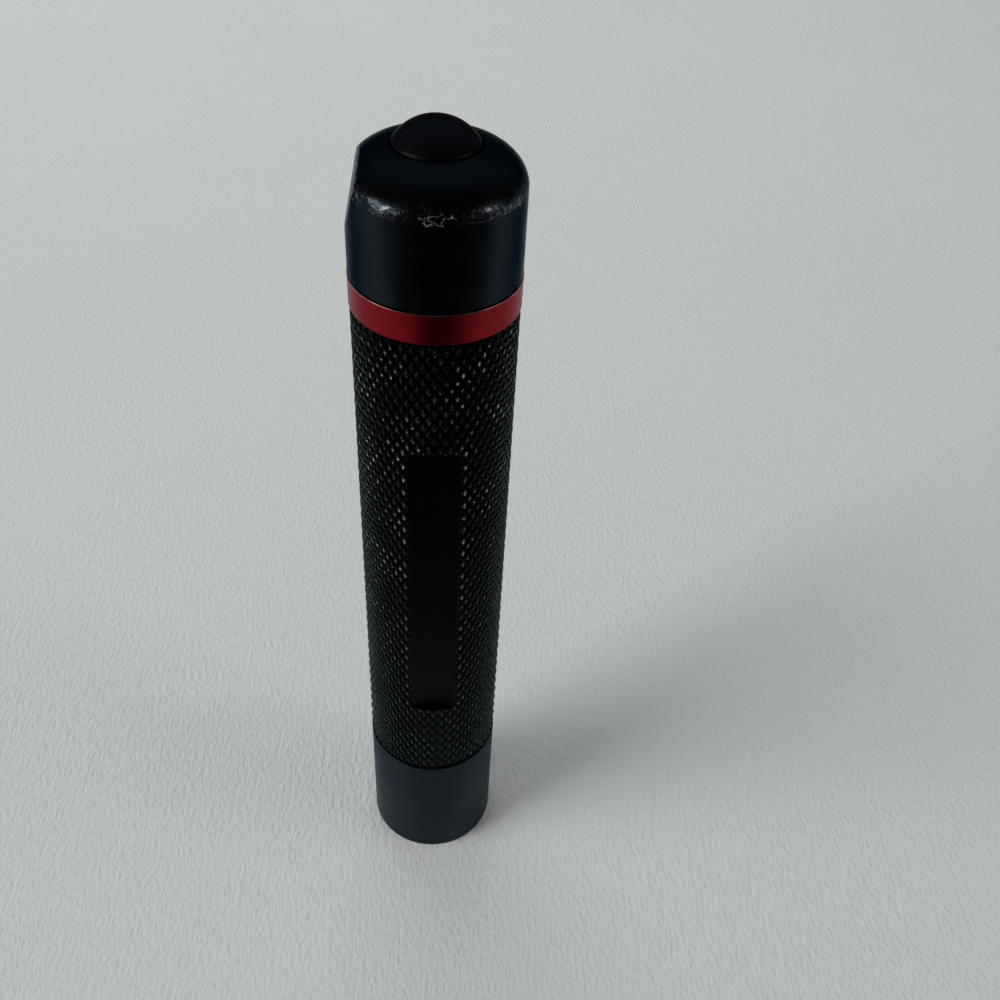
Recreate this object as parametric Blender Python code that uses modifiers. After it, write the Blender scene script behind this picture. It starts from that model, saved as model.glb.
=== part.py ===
"""Pocket traffic baton light: a turned aluminium grip with a push button in its tail cap, and a lit wand of
three tubes that draws out of the front collar. It stands on the collar, with the button on top.

Metres, +Z up. The origin is the centre of the collar's front face. Radii and heights that follow from others
are worked out from them, so one size can be changed by itself.
"""

import math

import bmesh
import bpy
from mathutils import Vector

MM = 0.001

# Clearances
SLIDE_GAP = 0.3 * MM  # radial, round a piece that slides or turns
SEAT_GAP = 0.3 * MM  # between a piece and the seat it rests on

# Grip: front collar, knurled barrel, accent ring
GRIP_RADIUS = 13.8 * MM
COLLAR_LENGTH = 31.1 * MM
GRIP_LENGTH = 109.6 * MM
EDGE_CHAMFER = 0.35 * MM
BARREL_WALL = 2.8 * MM  # from the grip's surface to the bore that the wand's foot runs in
COLLAR_SPIGOT_LENGTH = 10.0 * MM
COLLAR_SPIGOT_WALL = 1.0 * MM
MOUTH_LENGTH = 9.0 * MM  # guides the outer wand tube and stops its foot
WIPER_HEIGHT = 1.8 * MM
WIPER_DEPTH = 0.8 * MM
WIPER_INSET = 3.5 * MM  # from the collar's front face
RING_HEIGHT = 5.2 * MM
RING_STAND_PROUD = 0.17 * MM
WINDOW_DEPTH = 0.85 * MM
WINDOW_LENGTH = 68.0 * MM
WINDOW_INSET = 20.4 * MM  # from the barrel's front end
WINDOW_RAMP = 1.8 * MM

# Wand
STAGES = ("outer", "middle", "inner")
STOP_STEP = 1.1 * MM  # how far a mouth stands in from its bore
TUBE_WALL = 1.2 * MM
FOOT_LENGTH = 6.0 * MM
LIP_LENGTH = 4.0 * MM
TIP_RECESS = 0.6 * MM
TIP_THICKNESS = 2.0 * MM
TIP_STEM_LENGTH = 8.0 * MM
TIP_GAP = 0.5 * MM  # round the tip in the collar's mouth
O_RING_SECTION = 0.8 * MM  # diameter
GROOVE_DEPTH = 0.8 * MM
GROOVE_WIDTH = 1.3 * MM

# Tail end of the barrel
SPIGOT_STEP = 1.5 * MM  # how far the spigot stands in from the grip's surface
SPIGOT_GAP = 0.4 * MM  # between its end and the ring that holds the switch
THREAD_GAP = 0.4 * MM  # round it, in the cap
CAP_O_RING_SECTION = 1.2 * MM
CAP_GROOVE_DEPTH = 1.1 * MM
CAP_GROOVE_WIDTH = 2.0 * MM
CAP_GROOVE_INSET = 6.2 * MM  # from the barrel's shoulder

# Tail cap
CAP_STAND_PROUD = 0.05 * MM
CAP_SKIRT_LENGTH = 14.1 * MM
SHOULDER_HEIGHT = 6.25 * MM
SHOULDER_DEPTH = 8.56 * MM
CAP_TOP_THICKNESS = 2.5 * MM
FLAT_DEPTH = 0.85 * MM  # cut into the shoulder's start, on the cap's left
FLAT_LEAN = math.radians(7.7)
FLAT_AZIMUTH = math.radians(187)
RETAINER_HEIGHT = 2.0 * MM
RETAINER_WALL = 3.0 * MM

# Button
BUTTON_RADIUS = 6.6 * MM
BUTTON_DOME_HEIGHT = 3.4 * MM
BUTTON_TRAVEL = 1.8 * MM
FLANGE_WIDTH = 2.3 * MM
FLANGE_THICKNESS = 1.2 * MM
SEAL_THICKNESS = 0.8 * MM
STEM_RADIUS = 2.2 * MM
STEM_LENGTH = 0.7 * MM

# Switch
BOARD_THICKNESS = 1.2 * MM
SWITCH_WIDTH = 7.2 * MM
SWITCH_HEIGHT = 2.4 * MM
PLUNGER_RADIUS = 1.5 * MM

# Springs: wire radius, turns
SPRING_WIRE = 0.3 * MM
TAIL_SPRING_LENGTH = 6.5 * MM
TAIL_SPRING_WIDE = 6.0 * MM
TAIL_SPRING_NARROW = 3.2 * MM
FRONT_SPRING_LENGTH = 4.4 * MM
FRONT_SPRING_RADIUS = 2.4 * MM
BUTTON_SPRING_INSET = 2.4 * MM  # from the flange's edge to the middle of its wire

# Battery cell
CELL_RADIUS = 8.4 * MM
CELL_LENGTH = 34.5 * MM  # with its positive button
CELL_NUB_HEIGHT = 1.2 * MM
CELL_NUB_RADIUS = 3.0 * MM
CELL_CLEARANCE = 0.6 * MM

# Light engine
HEAT_SINK_HEIGHT = 6.2 * MM
LED_BOARD_THICKNESS = 1.3 * MM
LENS_HEIGHT = 10.3 * MM
LENS_FLANGE_THICKNESS = 1.3 * MM
LENS_NECK_RADIUS = 3.4 * MM
LENS_POCKET_RADIUS = 2.3 * MM
LENS_POCKET_DEPTH = 3.5 * MM
HOLDER_WALL = 1.8 * MM
EMITTER_RADIUS = 1.75 * MM
EMITTER_BASE = 0.7 * MM
CLIP_THICKNESS = 1.0 * MM
CLIP_WIDTH = 1.2 * MM
CLIP_BITE = 0.5 * MM  # how far the clip stands into its groove
CLIP_MOUTH = 6.0 * MM
WIRE_RADIUS = 0.5 * MM
WIRE_OFFSET = 4.5 * MM
CHIP_SIDE = 3.0 * MM
CHIP_HEIGHT = 1.5 * MM

# Facets round a turned piece
OUTER_FACETS = 48
INNER_FACETS = 32
SMALL_FACETS = 20

# Radii
BORE_RADIUS = GRIP_RADIUS - BARREL_WALL
MOUTH_RADIUS = BORE_RADIUS - STOP_STEP
SEATED_RADIUS = BORE_RADIUS - SLIDE_GAP  # of what is pushed into the barrel's bore
COLLAR_SPIGOT_RADIUS = BORE_RADIUS + COLLAR_SPIGOT_WALL
CELL_BORE = CELL_RADIUS + CELL_CLEARANCE
SPIGOT_RADIUS = GRIP_RADIUS - SPIGOT_STEP
CAP_RADIUS = GRIP_RADIUS + CAP_STAND_PROUD
CAP_BORE = SPIGOT_RADIUS + THREAD_GAP
BUTTON_HOLE = BUTTON_RADIUS + SLIDE_GAP
FLANGE_RADIUS = BUTTON_RADIUS + FLANGE_WIDTH
FLANGE_BORE = FLANGE_RADIUS + SLIDE_GAP

# Heights, from the collar's front face up to the cap's shoulder
BARREL_FRONT = COLLAR_LENGTH + SEAT_GAP
BARREL_SHOULDER = BARREL_FRONT + GRIP_LENGTH
RING_BOTTOM = BARREL_SHOULDER + SEAT_GAP
CAP_RIM = RING_BOTTOM + RING_HEIGHT + SEAT_GAP
SHOULDER_START = CAP_RIM + CAP_SKIRT_LENGTH


def shoulder_height(radius):
    """Height of the cap's rounded shoulder, a quarter of an ellipse, at this radius."""
    share = (radius - (CAP_RADIUS - SHOULDER_DEPTH)) / SHOULDER_DEPTH
    return SHOULDER_START + SHOULDER_HEIGHT * math.sqrt(1 - share**2)


# Heights, from the cap's top down to the front of the wand
CAP_TOP = shoulder_height(BUTTON_HOLE)
CAP_CEILING = CAP_TOP - CAP_TOP_THICKNESS
SEAL_BOTTOM = CAP_CEILING - SEAT_GAP - SEAL_THICKNESS
FLANGE_TOP = SEAL_BOTTOM - SEAT_GAP
FLANGE_BOTTOM = FLANGE_TOP - FLANGE_THICKNESS
STEM_BOTTOM = FLANGE_BOTTOM - STEM_LENGTH
PLUNGER_TOP = STEM_BOTTOM - SEAT_GAP
SWITCH_TOP = STEM_BOTTOM - BUTTON_TRAVEL - SEAT_GAP
CAP_SHELF = SWITCH_TOP - SWITCH_HEIGHT
SWITCH_BOARD_TOP = CAP_SHELF - SEAT_GAP
PLUNGER_BOTTOM = SWITCH_BOARD_TOP + SEAT_GAP + BUTTON_TRAVEL
SWITCH_BOARD_BOTTOM = SWITCH_BOARD_TOP - BOARD_THICKNESS
RETAINER_BOTTOM = SWITCH_BOARD_BOTTOM - SEAT_GAP - RETAINER_HEIGHT
SPIGOT_TOP = RETAINER_BOTTOM - SPIGOT_GAP
CELL_REAR = SWITCH_BOARD_BOTTOM - SEAT_GAP - TAIL_SPRING_LENGTH - SEAT_GAP
CELL_FRONT = CELL_REAR - CELL_LENGTH
DRIVER_TOP = CELL_FRONT - SEAT_GAP - FRONT_SPRING_LENGTH - SEAT_GAP
DRIVER_BOTTOM = DRIVER_TOP - BOARD_THICKNESS
SINK_TOP = DRIVER_BOTTOM - SEAT_GAP
SINK_BOTTOM = SINK_TOP - HEAT_SINK_HEIGHT
LED_BOARD_TOP = SINK_BOTTOM - SEAT_GAP
LED_BOARD_BOTTOM = LED_BOARD_TOP - LED_BOARD_THICKNESS
LENS_REAR = LED_BOARD_BOTTOM - SEAT_GAP
LENS_FRONT = LENS_REAR - LENS_HEIGHT
HOLDER_BOTTOM = LENS_FRONT + LENS_FLANGE_THICKNESS + SEAT_GAP
CLIP_BOTTOM = LENS_FRONT - SEAT_GAP - CLIP_THICKNESS
WAND_REAR = CLIP_BOTTOM - SEAT_GAP
FOOT_FRONT = WAND_REAR - FOOT_LENGTH
WAND_FRONT = TIP_RECESS + TIP_THICKNESS + SEAT_GAP
DOME_BASE = CAP_TOP + SEAT_GAP


def stage_radii():
    """(foot, tube, bore) of each wand tube, outermost first, each fitting in the bore of the one before."""
    radii = []
    bore = BORE_RADIUS
    for _ in STAGES:
        tube = bore - STOP_STEP - SLIDE_GAP
        radii.append((bore - SLIDE_GAP, tube, tube - TUBE_WALL))
        bore = tube - TUBE_WALL
    return radii


def new_material(name, colour, roughness, metallic=0.0, transmission=0.0):
    material = bpy.data.materials.new(name)
    material.use_nodes = True
    shader = material.node_tree.nodes["Principled BSDF"]
    shader.inputs["Base Color"].default_value = (*colour, 1.0)
    shader.inputs["Roughness"].default_value = roughness
    shader.inputs["Metallic"].default_value = metallic
    shader.inputs["Transmission Weight"].default_value = transmission
    return material


def black_anodised(name):
    return new_material(name, (0.012, 0.013, 0.015), 0.45, metallic=0.6)


def red_anodised(name):
    return new_material(name, (0.22, 0.008, 0.014), 0.35, metallic=0.8)


def bright_metal(name):
    return new_material(name, (0.62, 0.62, 0.60), 0.3, metallic=1.0)


def brass(name):
    return new_material(name, (0.70, 0.50, 0.20), 0.3, metallic=1.0)


def rubber(name):
    return new_material(name, (0.02, 0.02, 0.02), 0.8)


def plastic(name, colour):
    return new_material(name, colour, 0.4)


def red_polycarbonate(name):
    return new_material(name, (0.80, 0.05, 0.02), 0.25, transmission=0.7)


def clear_polycarbonate(name):
    return new_material(name, (0.90, 0.92, 0.92), 0.08, transmission=0.95)


def cleared_collection(name):
    """A new collection in the scene, after the objects that were there are removed."""
    for thing in list(bpy.data.objects):
        bpy.data.objects.remove(thing)
    collection = bpy.data.collections.new(name)
    bpy.context.scene.collection.children.link(collection)
    return collection


def cutter_collection():
    collection = bpy.data.collections.new("cutters")
    bpy.context.scene.collection.children.link(collection)
    return collection


MODEL = cleared_collection("traffic_baton_light")
CUTTERS = cutter_collection()


def finish(thing, name, material, body):
    """Names a piece, colours it, and hangs it on its body's empty."""
    thing.name = name
    thing.data.name = name
    thing.data.materials.clear()
    thing.data.materials.append(material)
    for collection in list(thing.users_collection):
        collection.objects.unlink(thing)
    MODEL.objects.link(thing)
    thing.parent = body
    thing.matrix_parent_inverse = body.matrix_world.inverted()
    return thing


def new_body(name, parent=None):
    """An empty on the grip's axis, which carries the pieces that move as one."""
    empty = bpy.data.objects.new(name, None)
    empty.empty_display_size = GRIP_RADIUS
    MODEL.objects.link(empty)
    empty.parent = parent
    return empty


def turned(name, profile, facets, material, body):
    """A piece turned about Z from (radius, height) points.

    The points run down the outer side first. A profile that starts and ends on the axis makes a solid piece,
    and any other is closed into a ring.
    """
    seat = min(height for _, height in profile)
    mesh = bpy.data.meshes.new(name)
    points = [(radius, 0.0, height - seat) for radius, height in profile]
    edges = [(i, i + 1) for i in range(len(points) - 1)]
    if profile[0][0] > 0:
        edges.append((len(points) - 1, 0))
    mesh.from_pydata(points, edges, [])
    thing = bpy.data.objects.new(name, mesh)
    thing.location.z = seat
    MODEL.objects.link(thing)
    screw = thing.modifiers.new("turn", "SCREW")
    screw.axis = "Z"
    screw.angle = math.tau
    screw.steps = facets
    screw.render_steps = facets
    screw.use_merge_vertices = True
    screw.merge_threshold = 0.00001
    return finish(thing, name, material, body)


def tube(name, outer, inner, bottom, top, facets, material, body):
    profile = [(outer, top), (outer, bottom), (inner, bottom), (inner, top)]
    return turned(name, profile, facets, material, body)


def disc(name, radius, bottom, top, facets, material, body):
    profile = [(0, top), (radius, top), (radius, bottom), (0, bottom)]
    return turned(name, profile, facets, material, body)


def o_ring(name, radius, height, section, material, body):
    """A round-section ring, its section's centre at this radius and height."""
    bpy.ops.mesh.primitive_torus_add(
        major_segments=INNER_FACETS,
        minor_segments=6,
        major_radius=radius,
        minor_radius=section / 2,
        location=(0, 0, height),
    )
    ring = bpy.context.object
    ring.data.shade_smooth()
    return finish(ring, name, material, body)


def coil(name, bottom_radius, top_radius, bottom, top, turns, material, body):
    """A compression spring whose wire lies between the two heights."""
    points_per_turn = 11
    count = round(turns * points_per_turn)
    first = bottom + SPRING_WIRE
    rise = top - bottom - 2 * SPRING_WIRE
    curve = bpy.data.curves.new(name, "CURVE")
    curve.dimensions = "3D"
    curve.bevel_depth = SPRING_WIRE
    curve.bevel_resolution = 1
    curve.use_fill_caps = True
    spline = curve.splines.new("POLY")
    spline.points.add(count)
    for i, point in enumerate(spline.points):
        share = i / count
        angle = math.tau * turns * share
        radius = bottom_radius + (top_radius - bottom_radius) * share
        point.co = (radius * math.cos(angle), radius * math.sin(angle), first + rise * share, 1)
    thing = bpy.data.objects.new(name, curve)
    MODEL.objects.link(thing)
    return finish(thing, name, material, body)


def block(name, size, centre, material, body):
    bpy.ops.mesh.primitive_cube_add(size=1, location=centre)
    thing = bpy.context.object
    thing.scale = size
    bpy.ops.object.transform_apply(location=False, rotation=False, scale=True)
    return finish(thing, name, material, body)


def cutter(thing, name):
    """Turns a shape into a helper that only cuts."""
    thing.name = name
    thing.hide_render = True
    thing.display_type = "WIRE"
    for collection in list(thing.users_collection):
        collection.objects.unlink(thing)
    CUTTERS.objects.link(thing)
    return thing


def round_cutter(name, radius, bottom, top, x=0.0):
    bpy.ops.mesh.primitive_cylinder_add(
        vertices=SMALL_FACETS, radius=radius, depth=top - bottom, location=(x, 0, (top + bottom) / 2)
    )
    return cutter(bpy.context.object, name)


def cut(thing, tool):
    boolean = thing.modifiers.new(tool.name, "BOOLEAN")
    boolean.operation = "DIFFERENCE"
    boolean.solver = "EXACT"
    boolean.object = tool


def front_collar(body):
    """Smooth front sleeve: a mouth that guides the wand, a wider bore behind, and a spigot for the barrel."""
    spigot_top = COLLAR_LENGTH + COLLAR_SPIGOT_LENGTH
    groove = MOUTH_RADIUS + WIPER_DEPTH + SEAT_GAP / 2
    profile = [
        (COLLAR_SPIGOT_RADIUS, spigot_top),
        (COLLAR_SPIGOT_RADIUS, COLLAR_LENGTH),
        (GRIP_RADIUS - EDGE_CHAMFER, COLLAR_LENGTH),
        (GRIP_RADIUS, COLLAR_LENGTH - EDGE_CHAMFER),
        (GRIP_RADIUS, EDGE_CHAMFER),
        (GRIP_RADIUS - EDGE_CHAMFER, 0),
        (MOUTH_RADIUS + EDGE_CHAMFER, 0),
        (MOUTH_RADIUS, EDGE_CHAMFER),
        (MOUTH_RADIUS, WIPER_INSET - SEAT_GAP),
        (groove, WIPER_INSET - SEAT_GAP),
        (groove, WIPER_INSET + WIPER_HEIGHT + SEAT_GAP),
        (MOUTH_RADIUS, WIPER_INSET + WIPER_HEIGHT + SEAT_GAP),
        (MOUTH_RADIUS, MOUTH_LENGTH),
        (BORE_RADIUS, MOUTH_LENGTH),
        (BORE_RADIUS, spigot_top),
    ]
    turned("front_collar", profile, OUTER_FACETS, black_anodised("collar black"), body)


def wiper_ring(body):
    """Felt ring in the mouth's groove, which keeps grit off the wand."""
    inner = MOUTH_RADIUS - SLIDE_GAP / 3
    outer = MOUTH_RADIUS + WIPER_DEPTH - SEAT_GAP / 2
    top = WIPER_INSET + WIPER_HEIGHT
    felt = plastic("wiper felt", (0.05, 0.05, 0.05))
    tube("wiper_ring", outer, inner, WIPER_INSET, top, INNER_FACETS, felt, body)


def window_cutter():
    """Flat pocket in the front of the grip: its floor is a chord of the barrel, and its ends slope up."""
    floor = GRIP_RADIUS - WINDOW_DEPTH
    reach = 2 * WINDOW_DEPTH
    bottom = BARREL_FRONT + WINDOW_INSET + WINDOW_RAMP
    top = BARREL_FRONT + WINDOW_INSET + WINDOW_LENGTH - WINDOW_RAMP
    bpy.ops.mesh.primitive_cube_add(size=1)
    tool = bpy.context.object
    shape = bmesh.new()
    shape.from_mesh(tool.data)
    for vertex in shape.verts:
        outward = vertex.co.y < 0
        lean = WINDOW_RAMP * reach / WINDOW_DEPTH if outward else 0.0
        vertex.co.x = math.copysign(GRIP_RADIUS, vertex.co.x)
        vertex.co.y = -(floor + reach) if outward else -floor
        vertex.co.z = top + lean if vertex.co.z > 0 else bottom - lean
    shape.to_mesh(tool.data)
    shape.free()
    return cutter(tool, "window_cutter")


def barrel(body):
    """Grip tube: a counterbore for the collar, the wand's bore, a clip groove, and the cell's own bore."""
    counterbore = COLLAR_SPIGOT_RADIUS + SLIDE_GAP
    counterbore_top = COLLAR_LENGTH + COLLAR_SPIGOT_LENGTH + SEAT_GAP
    clip_groove = BORE_RADIUS + CLIP_BITE + SLIDE_GAP
    ledge = SINK_TOP + SEAT_GAP
    groove_bottom = BARREL_SHOULDER + CAP_GROOVE_INSET
    groove_radius = SPIGOT_RADIUS - CAP_GROOVE_DEPTH
    profile = [
        (SPIGOT_RADIUS - EDGE_CHAMFER, SPIGOT_TOP),
        (SPIGOT_RADIUS, SPIGOT_TOP - EDGE_CHAMFER),
        (SPIGOT_RADIUS, groove_bottom + CAP_GROOVE_WIDTH),
        (groove_radius, groove_bottom + CAP_GROOVE_WIDTH),
        (groove_radius, groove_bottom),
        (SPIGOT_RADIUS, groove_bottom),
        (SPIGOT_RADIUS, BARREL_SHOULDER),
        (GRIP_RADIUS - EDGE_CHAMFER, BARREL_SHOULDER),
        (GRIP_RADIUS, BARREL_SHOULDER - EDGE_CHAMFER),
        (GRIP_RADIUS, BARREL_FRONT + EDGE_CHAMFER),
        (GRIP_RADIUS - EDGE_CHAMFER, BARREL_FRONT),
        (counterbore, BARREL_FRONT),
        (counterbore, counterbore_top),
        (BORE_RADIUS, counterbore_top),
        (BORE_RADIUS, CLIP_BOTTOM - SEAT_GAP),
        (clip_groove, CLIP_BOTTOM - SEAT_GAP),
        (clip_groove, CLIP_BOTTOM + CLIP_THICKNESS + SEAT_GAP),
        (BORE_RADIUS, CLIP_BOTTOM + CLIP_THICKNESS + SEAT_GAP),
        (BORE_RADIUS, ledge),
        (CELL_BORE, ledge),
        (CELL_BORE, SPIGOT_TOP),
    ]
    tube_piece = turned("barrel", profile, OUTER_FACETS, black_anodised("knurled black"), body)
    cut(tube_piece, window_cutter())


def cap_o_ring(body):
    """Seals the tail cap, in a groove round the barrel's spigot."""
    radius = SPIGOT_RADIUS - CAP_GROOVE_DEPTH + SEAT_GAP / 3 + CAP_O_RING_SECTION / 2
    height = BARREL_SHOULDER + CAP_GROOVE_INSET + CAP_GROOVE_WIDTH / 2
    o_ring("cap_o_ring", radius, height, CAP_O_RING_SECTION, rubber("cap seal rubber"), body)


def accent_ring(body):
    """Red spacer ring, clamped between the barrel's shoulder and the tail cap's rim."""
    outer = GRIP_RADIUS + RING_STAND_PROUD
    inner = SPIGOT_RADIUS + SLIDE_GAP
    top = RING_BOTTOM + RING_HEIGHT
    profile = [
        (outer - EDGE_CHAMFER, top),
        (outer, top - EDGE_CHAMFER),
        (outer, RING_BOTTOM + EDGE_CHAMFER),
        (outer - EDGE_CHAMFER, RING_BOTTOM),
        (inner, RING_BOTTOM),
        (inner, top),
    ]
    turned("accent_ring", profile, OUTER_FACETS, red_anodised("ring red"), body)


def wand_tube(stage, body):
    """One tube of the wand: a grooved foot behind, and a lip in front that guides and stops the next tube."""
    foot, outer, bore = stage_radii()[stage]
    last = stage == len(STAGES) - 1
    groove_radius = foot - GROOVE_DEPTH
    groove_bottom = FOOT_FRONT + (FOOT_LENGTH - GROOVE_WIDTH) / 2
    profile = [
        (foot, WAND_REAR),
        (foot, groove_bottom + GROOVE_WIDTH),
        (groove_radius, groove_bottom + GROOVE_WIDTH),
        (groove_radius, groove_bottom),
        (foot, groove_bottom),
        (foot, FOOT_FRONT),
        (outer, FOOT_FRONT),
        (outer, WAND_FRONT),
    ]
    if last:
        profile.append((bore, WAND_FRONT))
    else:
        lip = bore - STOP_STEP
        profile += [(lip, WAND_FRONT), (lip, WAND_FRONT + LIP_LENGTH), (bore, WAND_FRONT + LIP_LENGTH)]
    profile.append((bore, WAND_REAR))
    name = STAGES[stage]
    turned(f"{name}_wand_tube", profile, INNER_FACETS, red_polycarbonate(f"{name} tube red"), body)
    ring_radius = groove_radius + SEAT_GAP / 3 + O_RING_SECTION / 2
    ring_height = groove_bottom + GROOVE_WIDTH / 2
    seal = rubber(f"{name} ring rubber")
    o_ring(f"{name}_tube_o_ring", ring_radius, ring_height, O_RING_SECTION, seal, body)


def tip_cap(body):
    """Lens-like end of the wand: a flange that closes the collar's mouth, and a stem in the inner tube."""
    flange = MOUTH_RADIUS - TIP_GAP
    top = TIP_RECESS + TIP_THICKNESS
    stem = stage_radii()[-1][2] - SLIDE_GAP
    profile = [
        (0, top + TIP_STEM_LENGTH),
        (stem, top + TIP_STEM_LENGTH),
        (stem, top),
        (flange, top),
        (flange, TIP_RECESS + EDGE_CHAMFER),
        (flange - EDGE_CHAMFER, TIP_RECESS),
        (0, TIP_RECESS),
    ]
    turned("tip_cap", profile, INNER_FACETS, red_polycarbonate("tip red"), body)


def lens_clip(body):
    """Split spring ring that holds the light engine in the bore."""
    outer = BORE_RADIUS + CLIP_BITE
    top = CLIP_BOTTOM + CLIP_THICKNESS
    steel = bright_metal("clip steel")
    clip = tube("lens_clip", outer, outer - CLIP_WIDTH, CLIP_BOTTOM, top, INNER_FACETS, steel, body)
    bpy.ops.mesh.primitive_cube_add(size=1, location=(0, outer, CLIP_BOTTOM + CLIP_THICKNESS / 2))
    tool = bpy.context.object
    tool.scale = (CLIP_MOUTH, 4 * CLIP_WIDTH, 2 * CLIP_THICKNESS)
    bpy.ops.object.transform_apply(location=False, rotation=False, scale=True)
    cut(clip, cutter(tool, "clip_mouth_cutter"))


def collimator_lens(body):
    """Moulded lens that turns the emitter's light down the tubes, with a pocket over the emitter."""
    flange_top = LENS_FRONT + LENS_FLANGE_THICKNESS
    holder_bore = SEATED_RADIUS - HOLDER_WALL
    profile = [
        (LENS_NECK_RADIUS, LENS_REAR),
        (holder_bore - SEAT_GAP, HOLDER_BOTTOM),
        (holder_bore - SEAT_GAP, flange_top),
        (SEATED_RADIUS, flange_top),
        (SEATED_RADIUS, LENS_FRONT),
        (0, LENS_FRONT),
    ]
    pocket = LENS_REAR - LENS_POCKET_DEPTH
    profile = [(0, pocket), (LENS_POCKET_RADIUS, pocket), (LENS_POCKET_RADIUS, LENS_REAR)] + profile
    turned("collimator_lens", profile, INNER_FACETS, clear_polycarbonate("lens clear"), body)


def lens_holder(body):
    """White cup between the heat sink and the lens's flange."""
    inner = SEATED_RADIUS - HOLDER_WALL
    white = plastic("holder white", (0.75, 0.75, 0.73))
    tube("lens_holder", SEATED_RADIUS, inner, HOLDER_BOTTOM, LED_BOARD_TOP, INNER_FACETS, white, body)


def led_emitter(body):
    """Power LED, face down: a round base and a domed window."""
    top = LED_BOARD_BOTTOM - SEAT_GAP
    base = top - EMITTER_BASE
    steps = 3
    dome = 0.8 * EMITTER_RADIUS
    profile = [(0, top), (EMITTER_RADIUS, top), (EMITTER_RADIUS, base), (dome, base)]
    for i in range(1, steps):
        angle = math.pi / 2 * i / steps
        profile.append((dome * math.cos(angle), base - dome * math.sin(angle)))
    profile.append((0, base - dome))
    turned("led_emitter", profile, SMALL_FACETS, plastic("emitter yellow", (0.85, 0.70, 0.20)), body)


def led_board(body):
    radius = SEATED_RADIUS - HOLDER_WALL - SEAT_GAP
    white = plastic("led board white", (0.80, 0.80, 0.78))
    disc("led_board", radius, LED_BOARD_BOTTOM, LED_BOARD_TOP, INNER_FACETS, white, body)


def heat_sink(body):
    """Aluminium plug against the barrel's ledge, with two holes for the emitter's wires."""
    metal = bright_metal("sink aluminium")
    plug = disc("heat_sink", SEATED_RADIUS, SINK_BOTTOM, SINK_TOP, INNER_FACETS, metal, body)
    hole = WIRE_RADIUS + SLIDE_GAP
    margin = HEAT_SINK_HEIGHT / 2
    for side, x in (("left", -WIRE_OFFSET), ("right", WIRE_OFFSET)):
        cut(plug, round_cutter(f"{side}_wire_hole", hole, SINK_BOTTOM - margin, SINK_TOP + margin, x))


def led_wires(body):
    """Two insulated leads through the heat sink, from the driver board to the LED board."""
    red = (0.60, 0.02, 0.02)
    black = (0.02, 0.02, 0.02)
    for side, x, colour in (("positive", WIRE_OFFSET, red), ("negative", -WIRE_OFFSET, black)):
        bpy.ops.mesh.primitive_cylinder_add(
            vertices=SMALL_FACETS // 2,
            radius=WIRE_RADIUS,
            depth=HEAT_SINK_HEIGHT,
            location=(x, 0, SINK_BOTTOM + HEAT_SINK_HEIGHT / 2),
        )
        finish(bpy.context.object, f"{side}_led_wire", plastic(f"{side} wire", colour), body)


def driver_board(body):
    green = plastic("driver board green", (0.02, 0.16, 0.06))
    disc("driver_board", CELL_BORE - SLIDE_GAP, DRIVER_BOTTOM, DRIVER_TOP, INNER_FACETS, green, body)


def driver_chip(body):
    centre = (0, CELL_BORE - CHIP_SIDE, DRIVER_TOP + SEAT_GAP + CHIP_HEIGHT / 2)
    size = (CHIP_SIDE, CHIP_SIDE, CHIP_HEIGHT)
    block("driver_chip", size, centre, plastic("chip black", (0.02, 0.02, 0.02)), body)


def front_spring(body):
    """Positive contact, between the driver board and the cell's button."""
    bottom = DRIVER_TOP + SEAT_GAP
    radius = FRONT_SPRING_RADIUS
    gold = brass("front spring brass")
    coil("front_spring", radius, radius, bottom, CELL_FRONT - SEAT_GAP, 4.5, gold, body)


def battery_cell(body):
    """Lithium cell, positive button down."""
    can_front = CELL_FRONT + CELL_NUB_HEIGHT
    profile = [
        (0, CELL_REAR),
        (CELL_RADIUS - EDGE_CHAMFER, CELL_REAR),
        (CELL_RADIUS, CELL_REAR - EDGE_CHAMFER),
        (CELL_RADIUS, can_front + EDGE_CHAMFER),
        (CELL_RADIUS - EDGE_CHAMFER, can_front),
        (CELL_NUB_RADIUS, can_front),
        (CELL_NUB_RADIUS, CELL_FRONT),
        (0, CELL_FRONT),
    ]
    turned("battery_cell", profile, INNER_FACETS, plastic("cell wrap", (0.06, 0.10, 0.22)), body)


def flat_cutter():
    """Box whose inner face shaves one leaning flat across the start of the cap's shoulder."""
    size = 2 * SHOULDER_DEPTH
    outward = Vector((math.cos(FLAT_AZIMUTH), math.sin(FLAT_AZIMUTH), 0))
    normal = outward * math.cos(FLAT_LEAN) + Vector((0, 0, 1)) * math.sin(FLAT_LEAN)
    start = outward * (CAP_RADIUS - FLAT_DEPTH) + Vector((0, 0, SHOULDER_START))
    bpy.ops.mesh.primitive_cube_add(size=size, location=start + normal * (size / 2))
    tool = bpy.context.object
    tool.rotation_euler = normal.to_track_quat("X", "Z").to_euler()
    return cutter(tool, "flat_cutter")


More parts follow.
